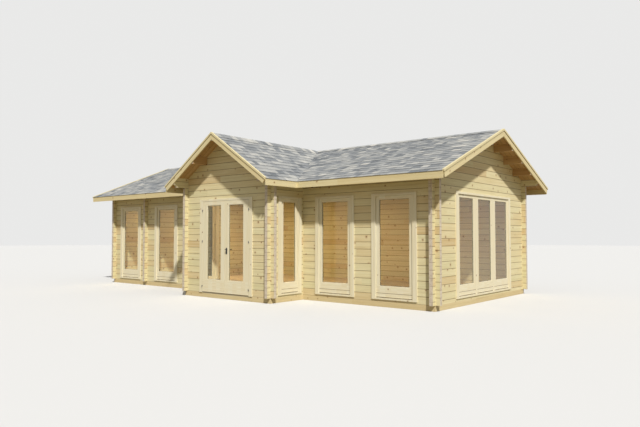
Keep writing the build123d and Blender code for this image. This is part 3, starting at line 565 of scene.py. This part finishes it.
def shingleMaterial():
    # Asphalt shingles with mineral granules: blue-grey tabs from pale to slate, speckled and matt.
    # The tone is a tab's own, down is 0 at its upper edge and 1 at its lower, and the grit is drawn at 3 mm.
    material, tree, shader = newMaterial("asphaltShingleGranules")
    coords = add(tree, "ShaderNodeTexCoord").node.outputs["Object"]
    tone = add(tree, "ShaderNodeAttribute", out=2, attribute_name="tone")
    patch = add(tree, "ShaderNodeTexNoise", {"Vector": coords, "Scale": granules["patchesPerMetre"],
                                             "Detail": 3.0})
    grit = add(tree, "ShaderNodeTexNoise", {"Vector": coords, "Scale": granules["gritPerMetre"],
                                            "Detail": 2.0})
    down = add(tree, "ShaderNodeAttribute", out=2, attribute_name="down")
    upper, lower = granules["shadowSpan"]
    shadow = add(tree, "ShaderNodeMapRange", {0: down, 1: upper, 2: lower, 3: granules["shadow"], 4: 0.0})
    shaded = add(tree, "ShaderNodeMath", {0: tone, 1: shadow}, operation="ADD")
    patched = add(tree, "ShaderNodeMath", {0: patch, 1: granules["patchWeight"], 2: shaded},
                  operation="MULTIPLY_ADD")
    speckled = add(tree, "ShaderNodeMath", {0: grit, 1: granules["gritWeight"], 2: patched},
                   operation="MULTIPLY_ADD")
    least, most = granules["span"]
    even = add(tree, "ShaderNodeMapRange", {0: speckled, 1: least, 2: most})
    colour = ramp(tree, even, granules["colours"])
    bump = add(tree, "ShaderNodeBump", {"Strength": 0.6, "Distance": granules["gritRelief"],
                                        "Height": grit})
    tree.links.new(colour, shader.inputs["Base Color"])
    tree.links.new(bump, shader.inputs["Normal"])
    shader.inputs["Roughness"].default_value = granules["roughness"]
    shader.inputs["Specular IOR Level"].default_value = granules["specular"]
    return material


shingleFinish = shingleMaterial()


def tabGrid(start, end, length, count):
    # Tab edges for every course: random widths laid end to end between start and end.
    rows = []
    narrow, wide = shingles["widths"]
    for k in range(count):
        steps = rng.uniform(narrow, wide, size=int((end - start) / narrow) + 3)
        edges = start - rng.uniform(0, wide) + np.concatenate([[0], np.cumsum(steps)])
        edges = np.clip(edges, start, end)
        keep = np.diff(edges) > shingles["smallest"]
        left, right = edges[:-1][keep], edges[1:][keep]
        rows.append(np.stack([left, right, np.full(left.size, k * length),
                              np.full(left.size, (k + 1) * length)], 1))
    return np.concatenate(rows)


def slopeOfTabs(name, origin, alongDir, downDir, normal, extent, depth, node, cutPlanes):
    # A point at (t, s) is origin + t along + s down + h normal; the wedge's top rises towards its lower edge.
    origin, alongDir, downDir, normal = (np.array(v, float) for v in (origin, alongDir, downDir, normal))
    courses = int(math.ceil(depth / shingles["course"]))
    tabs = tabGrid(extent[0], extent[1], depth / courses, courses)
    count = len(tabs)
    raised = (rng.random(count) < shingles["raisedShare"]) * shingles["thick"]
    left, right, upper, lower = tabs.T
    upper = np.maximum(upper - shingles["overlap"], 0.0)
    t = np.stack([left, right, right, left], 1)
    s = np.stack([upper, upper, lower, lower], 1)
    thin, thickEnd = np.full(count, shingles["hiddenEdge"]), shingles["lift"] + raised
    top = np.stack([thin, thin, thickEnd, thickEnd], 1)
    vertices = np.concatenate([
        origin + t[..., None] * alongDir + s[..., None] * downDir + h[..., None] * normal
        for h in (np.zeros((count, 4)), top)], 1).reshape(-1, 3)
    box = np.array([[4, 5, 6, 7], [3, 2, 1, 0], [0, 1, 5, 4], [1, 2, 6, 5], [2, 3, 7, 6], [3, 0, 4, 7]])
    if np.dot(np.cross(alongDir, downDir), normal) < 0:
        box = box[:, ::-1]
    faces = (box[None] + 8 * np.arange(count)[:, None, None]).reshape(-1, 4)
    piece = meshPiece(name, vertices, faces.tolist(), shingleFinish, "root", "asphalt_shingle")
    tones = np.clip(rng.normal(*shingles["tones"], count), 0, 1) - shingles["flatDarker"] * (raised == 0)
    pointValues(piece, "tone", np.repeat(tones, 8))
    pointValues(piece, "down", np.tile([0, 0, 1, 1, 0, 0, 1, 1], count))
    if cutPlanes:
        mesh = bmesh.new()
        mesh.from_mesh(piece.data)
        for point, direction in cutPlanes:
            geometry = mesh.verts[:] + mesh.edges[:] + mesh.faces[:]
            cut = bmesh.ops.bisect_plane(mesh, geom=geometry, plane_co=point, plane_no=direction,
                                         clear_outer=True)
            edges = [g for g in cut["geom_cut"] if isinstance(g, bmesh.types.BMEdge)]
            bmesh.ops.edgenet_fill(mesh, edges=edges)
        mesh.to_mesh(piece.data)
        mesh.free()
    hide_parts(node)


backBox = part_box("shingles_back")
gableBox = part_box("shingles_front_gable")
ridgeTop = backBox[1].z
sheetTop = ridgeTop - shingles["sheetRise"]
endX = backBox[1].x
lipY = backBox[1].y - ridgeY - shingles["drawnBack"]
lipX = gableBox[1].x - centreX - shingles["drawnBack"]
cosMain, sinMain = math.cos(mainPitch), math.sin(mainPitch)
cosFront, sinFront = math.cos(frontPitch), math.sin(frontPitch)
crossing = (centreX, ridgeY, 0)    # where the two ridges meet, in plan

slopeOfTabs("shingle_tabs_back", (0, ridgeY, sheetTop), (1, 0, 0), (0, cosMain, -sinMain),
            (0, sinMain, cosMain), (-endX, endX), lipY / cosMain, "shingles_back", [])
for side, word in ((-1, "left"), (1, "right")):
    # The valley plane is upright through the ridge crossing; its normal points away from the kept side.
    slopeOfTabs("shingle_tabs_" + word, (0, ridgeY, sheetTop), (1, 0, 0), (0, -cosMain, -sinMain),
                (0, -sinMain, cosMain), (-endX, centreX) if side < 0 else (centreX, endX), lipY / cosMain,
                "shingles_" + word, [(crossing, (-side * mainRun, -frontRun, 0))])
    slopeOfTabs("shingle_tabs_front_" + word, (centreX, 0, sheetTop), (0, 1, 0),
                (side * cosFront, 0, -sinFront), (side * sinFront, 0, cosFront), (gableBox[0].y, ridgeY),
                lipX / cosFront, "shingles_front_gable", [(crossing, (side * mainRun, frontRun, 0))])
print("shingles laid")


# Ridge caps: folded pieces that overlap along the ridge.
caps = {
    "reach": 0.15,       # m out from the ridge
    "fold": 0.12,        # share of the reach where the bend starts
    "foldDrop": 0.05,    # share of the reach that the bend's top lies under a sharp one
    "step": 0.145,       # m
    "length": 0.20,      # m
    "thick": 0.004,      # m
    "base": 0.0015,      # m over the ridge
    "tones": (0.5, 0.2),
    "frontStop": 0.12,   # m before the main ridge
}


def ridgeCaps(name, start, end, across, drop):
    # A cap is a folded profile carried from its hidden end, low, to its open end, raised by one thickness.
    start, end, across = (np.array(v, float) for v in (start, end, across))
    run = end - start
    total = np.linalg.norm(run)
    along = run / total
    count = int(total // caps["step"])
    u = np.array([-1, -caps["fold"], 0, caps["fold"], 1.0]) * caps["reach"]
    fold = -np.abs(u) * drop
    fold[2] = -caps["foldDrop"] * caps["reach"] * drop
    first = np.arange(count)[:, None] * total / count
    ends = np.concatenate([first, np.minimum(first + caps["length"], total)], 1)
    lift = np.stack([np.full(count, caps["base"] + caps["thick"]), np.full(count, caps["base"])], 1)
    place = start + ends[..., None, None] * along + u[:, None] * across
    up = np.array([0, 0, 1.0])
    vertices = np.concatenate([
        (place + up * (fold[:, None] + lift[..., None, None] + layer)).reshape(count, -1, 3)
        for layer in (0, caps["thick"])], 1)    # per cap: 2 ends of 5 below, then the same above
    k = np.arange(4)
    strips = np.concatenate([
        np.stack([k, k + 1, 6 + k, 5 + k], 1), np.stack([15 + k, 16 + k, 11 + k, 10 + k], 1),
        np.stack([10 + k, 11 + k, k + 1, k], 1), np.stack([5 + k, 6 + k, 16 + k, 15 + k], 1),
        [[0, 5, 15, 10], [4, 14, 19, 9]]])
    faces = (strips[None] + 20 * np.arange(count)[:, None, None]).reshape(-1, 4)
    piece = meshPiece(name, vertices, faces.tolist(), shingleFinish, "root", "asphalt_shingle")
    faceOutwards(piece)
    tones = np.clip(rng.normal(*caps["tones"], count), 0, 1)
    pointValues(piece, "tone", np.repeat(tones, 20))
    pointValues(piece, "down", np.ones(20 * count))
    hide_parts("ridge_caps")


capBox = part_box("ridge_caps")
ridgeCaps("ridge_cap_pieces_main", (capBox[0].x, ridgeY, ridgeTop), (capBox[1].x, ridgeY, ridgeTop),
          (0, 1, 0), mainSlope)
ridgeCaps("ridge_cap_pieces_front", (centreX, capBox[0].y, ridgeTop),
          (centreX, ridgeY - caps["frontStop"], ridgeTop), (1, 0, 0), frontSlope)
print("ridge capped")


# Each pane: its middle in plan, the way it faces, half its width, and its low and high edge.
panes = {
    "root": [((x, -1.5825), (0, -1), 0.3227, 0.3713, 1.9667) for x in (-4.1975, -2.6175, 2.8085, 4.1665)]
            + [((1.9725, -2.012), (1, 0), 0.1847, 0.3713, 1.9667),
               ((-0.5615, -2.012), (-1, 0), 0.1847, 0.3713, 1.9667)]
            + [((4.968, y), (1, 0), 0.3007, 0.3863, 2.0127) for y in (-0.3665, 0.4455, 1.2575)],
    "left_leaf": [((0.3703, -2.5495), (0, -1), 0.2195, 0.3733, 1.9327)],
    "right_leaf": [((1.0408, -2.5495), (0, -1), 0.2195, 0.3733, 1.9327)],
}
# Each profile runs from the pane's edge inwards, and up from its face.
glazing = {
    "paneHalf": 0.0102,    # m, from a pane's middle to its face
    "bead": [(0.0, 0.0), (0.011, 0.0), (0.011, 0.004), (0.0085, 0.0095), (0.0, 0.0115)],
    "seal": [(0.011, 0.0), (0.0145, 0.0), (0.0135, 0.0018), (0.011, 0.0024)],
}


def paneRings(profile, openings):
    # A profile point is a way in from the pane's edge and a height above its face, taken round four corners.
    inward, height = np.array(profile).T
    vertices = []
    for (x, y), (outX, outY), half, low, high in openings:
        for face in (1, -1):
            level = face * (glazing["paneHalf"] + height)
            right, top = half - inward, high - inward
            corners = [(-right, low + inward), (right, low + inward), (right, top), (-right, top)]
            for side, z in corners:
                vertices.append(np.stack([x + outX * level - outY * side,
                                          y + outY * level + outX * side, z], 1))
    count = len(inward)
    k, j = np.meshgrid(np.arange(4), np.arange(count), indexing="ij")
    nextK, nextJ = (k + 1) % 4, (j + 1) % count
    ring = np.stack([k * count + j, nextK * count + j, nextK * count + nextJ, k * count + nextJ], -1)
    ring = ring.reshape(-1, 4)
    pair = np.concatenate([ring[:, ::-1], ring + 4 * count])    # the outer side, then the inner
    faces = (pair[None] + 8 * count * np.arange(len(openings))[:, None, None]).reshape(-1, 4)
    return np.concatenate(vertices), faces.tolist()


sealFinish = hardwareMaterial("blackRubberSeal", "1c1b1a", metallic=0.0, roughness=0.7)
for body, openings in panes.items():
    wooden = sashFinish if body == "root" else leafFinish
    meshPiece("glazing_beads_" + body, *paneRings(glazing["bead"], openings), wooden, body, "joinery_pine")
    meshPiece("pane_seals_" + body, *paneRings(glazing["seal"], openings), sealFinish, body, "handle_metal")
print("panes beaded")


# Lever handles on both faces of the right leaf: a rounded plate, a keyhole and a bar bent along the leaf.
handle = {
    "middle": 0.765,                                   # m along X
    "faces": [(-2.572, -1), (-2.527, 1)],              # each face's Y and the way out of it
    "spindle": 1.010,                                  # m high
    "plate": (0.018, 0.065, 0.981),                    # half its width and height, and its middle's height
    "plateThick": 0.006,
    "plateEdge": [(0, 0), (0, 0.7), (0.0006, 0.9), (0.0018, 1.0)],    # m inwards, share of the thickness
    "corner": 0.012,
    "key": (0.0055, 0.947),                            # half its width, its height over the ground
    "keyStretch": 1.7,
    "keyEdge": [(1.0, 0.5), (1.0, 1.35), (0.8, 1.5)],  # share of the width, share of the plate's thickness
    "reach": 0.0455,
    "end": 0.8345,                                     # m along X
    "bend": 0.014,
    "bar": 0.0088,
    "barFlat": 0.88,                                   # its thickness as a share of its height
    "barTip": (0.86, 0.55),                            # its height before and at its end, as shares
    "tipLength": 0.001,
    "collar": 0.0125,
    "collarFrom": 0.003,                               # out from the leaf's face
    "collarTo": 0.010,
    "collarEdge": 0.001,                               # from the collar down to the bar
    "sides": 16,                                       # of the bar and the keyhole
}


def roundedPlate(halfWide, halfHigh, corner, steps=6):
    # The outline is four quarter circles joined by straight edges.
    turn = np.linspace(0, math.pi / 2, steps)
    points = []
    for number, (sideX, sideZ) in enumerate(((1, 1), (-1, 1), (-1, -1), (1, -1))):
        angle = turn + number * math.pi / 2
        points.append(np.stack([sideX * (halfWide - corner) + corner * np.cos(angle),
                                sideZ * (halfHigh - corner) + corner * np.sin(angle)], 1))
    return np.concatenate(points)


def stackRings(rings):
    # Closes a stack of equal rings of points with caps at both ends.
    count = len(rings[0])
    a, j = np.meshgrid(np.arange(len(rings) - 1), np.arange(count), indexing="ij")
    nextJ = (j + 1) % count
    walls = np.stack([a * count + j, a * count + nextJ, (a + 1) * count + nextJ, (a + 1) * count + j], -1)
    last = (len(rings) - 1) * count
    faces = walls.reshape(-1, 4).tolist() + [list(range(count))[::-1], list(range(last, last + count))]
    return np.concatenate(rings), faces


def handleParts(face, out):
    # Plates grow from the leaf's face; the bar leaves it, bends by a quarter circle and runs along the leaf.
    middle, thick = handle["middle"], handle["plateThick"]
    halfWide, halfHigh, middleZ = handle["plate"]
    plate = []
    for inset, rise in handle["plateEdge"]:
        x, z = roundedPlate(halfWide - inset, halfHigh - inset, handle["corner"] - inset).T
        plate.append(np.stack([middle + x, np.full(len(x), face + out * rise * thick), middleZ + z], 1))
    sides = handle["sides"]
    ring = np.linspace(0, 2 * math.pi, sides + 1)[:-1]
    radius, keyZ = handle["key"]
    key = []
    for share, rise in handle["keyEdge"]:
        key.append(np.stack([middle + share * radius * np.cos(ring),
                             np.full(sides, face + out * rise * thick),
                             keyZ + handle["keyStretch"] * share * radius * np.sin(ring)], 1))
    # The bar's line runs out of the plate, round the bend and along to its end, with half its height at
    # each point.
    bend, reach, bar = handle["bend"], handle["reach"], handle["bar"]
    turn = np.linspace(0, math.pi / 2, 7)
    straight, length = reach - bend, handle["end"] - middle
    collarTo, (nearTip, tip) = handle["collarTo"], handle["barTip"]
    lineX = np.concatenate([np.zeros(4), bend * (1 - np.cos(turn)),
                            np.linspace(bend, length - handle["tipLength"], 6)[1:], [length]])
    lineY = np.concatenate([[handle["collarFrom"], collarTo, collarTo + handle["collarEdge"],
                             straight * 0.8], straight + bend * np.sin(turn), np.full(6, reach)])
    heading = np.concatenate([np.full(4, math.pi / 2), math.pi / 2 - turn, np.zeros(6)])
    size = np.concatenate([[handle["collar"]] * 2, [bar] * 9, np.linspace(1.0, nearTip, 5) * bar,
                           [tip * bar]])
    lineX, lineY, heading, size = (values[:, None] for values in (lineX, lineY, heading, size))
    across = handle["barFlat"] * size * np.cos(ring)
    lever = np.stack([middle + lineX - across * np.sin(heading),
                      face + out * (lineY + across * np.cos(heading)),
                      handle["spindle"] + size * np.sin(ring)], 2)
    return [stackRings(rings) for rings in (plate, key, lever)]


vertices, faces, start = [], [], 0
for face, out in handle["faces"]:
    for points, quads in handleParts(face, out):
        vertices.append(points)
        faces += [[start + k for k in quad] for quad in quads]
        start += len(points)
lever = meshPiece("lever_handle", np.concatenate(vertices), faces, blackMetal, "right_leaf", "handle_metal")
faceOutwards(lever)
corners = np.zeros(len(lever.data.polygons), np.int32)
lever.data.polygons.foreach_get("loop_total", corners)
lever.data.polygons.foreach_set("use_smooth", corners == 4)    # round walls, flat caps
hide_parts("door_handle")
print("handle shaped")


def seenPlainly(tree):
    # 1 for rays from the camera, through glass or off a gloss; 0 for light that the house throws about.
    rays = add(tree, "ShaderNodeLightPath").node.outputs
    straight = add(tree, "ShaderNodeMath", {0: rays["Is Camera Ray"], 1: rays["Is Transmission Ray"]},
                   operation="MAXIMUM")
    return add(tree, "ShaderNodeMath", {0: straight, 1: rays["Is Glossy Ray"]}, operation="MAXIMUM")


# Pale floor, which throws less light back at the walls than it shows.
studioFloor = {"shown": "dcdee1", "bounce": "948869", "radius": 70.0, "height": -0.002, "sides": 96,
               "roughness": 0.9, "specular": 0.1}
angles = np.linspace(0, 2 * np.pi, studioFloor["sides"] + 1)[:-1]
rim = np.stack([studioFloor["radius"] * np.cos(angles), studioFloor["radius"] * np.sin(angles),
                np.full(angles.size, studioFloor["height"])], 1)
floorMesh = bpy.data.meshes.new("studio_floor")
floorMesh.from_pydata(rim.tolist(), [], [list(range(studioFloor["sides"]))])
floor = bpy.data.objects.new("studio_floor", floorMesh)
bpy.context.scene.collection.objects.link(floor)
floorMaterial, floorTree, floorShader = newMaterial("paleStudioFloor")
floorColour = add(floorTree, "ShaderNodeMix", {0: seenPlainly(floorTree), 6: linear(studioFloor["bounce"]),
                                               7: linear(studioFloor["shown"])}, out=2, data_type="RGBA")
floorTree.links.new(floorColour, floorShader.inputs["Base Color"])
floorShader.inputs["Roughness"].default_value = studioFloor["roughness"]
floorShader.inputs["Specular IOR Level"].default_value = studioFloor["specular"]
floorMesh.materials.append(floorMaterial)

# An even sky, paler where it is seen than as a light.
studioSky = {"colour": "fcfcfb", "light": 0.36, "background": 0.84}
world = bpy.data.worlds.new("studioSky")
bpy.context.scene.world = world
world.use_nodes = True
worldTree = world.node_tree
worldTree.nodes.clear()
skyStrength = add(worldTree, "ShaderNodeMapRange", {0: seenPlainly(worldTree), 3: studioSky["light"],
                                                    4: studioSky["background"]})
sky = add(worldTree, "ShaderNodeBackground", {"Color": linear(studioSky["colour"]), "Strength": skyStrength})
worldOut = worldTree.nodes.new("ShaderNodeOutputWorld")
worldTree.links.new(sky, worldOut.inputs[0])

# The key light comes from the right and in front, from where the gables' shadows in the photograph point to.
keyLight = {"strength": 3.88, "angle": 2.5, "colour": "fffaf1", "from": (0.547, -0.436, 0.714)}
sun = bpy.data.objects.new("softKey", bpy.data.lights.new("softKey", "SUN"))
sun.data.energy = keyLight["strength"]
sun.data.angle = math.radians(keyLight["angle"])
sun.data.color = linear(keyLight["colour"])[:3]
bpy.context.scene.collection.objects.link(sun)
towards = np.array(keyLight["from"]) / np.linalg.norm(keyLight["from"])
sun.rotation_euler = (math.acos(towards[2]), 0, math.atan2(towards[1], towards[0]) + math.pi / 2)

# Warm lamps hang in the rooms, so that the logs indoors show through the panes: each lamp's place and watts.
roomLight = {
    "colour": "ffe2b0",
    "size": 1.1,
    "lamps": [((3.2, 0.4, 2.35), 16.0), ((0.7, 0.4, 2.35), 34.0), ((-1.9, 0.4, 2.35), 40.0),
              ((-4.2, 0.4, 2.35), 40.0), ((0.7, -2.0, 2.3), 15.0)],
}
for number, (place, power) in enumerate(roomLight["lamps"]):
    lamp = bpy.data.objects.new("roomLamp%d" % number, bpy.data.lights.new("roomLamp%d" % number, "AREA"))
    lamp.data.shape = "DISK"
    lamp.data.size = roomLight["size"]
    lamp.data.energy = power
    lamp.data.color = linear(roomLight["colour"])[:3]
    lamp.location = place
    bpy.context.scene.collection.objects.link(lamp)
bpy.context.scene.view_settings.view_transform = "Standard"
print("studio lit")
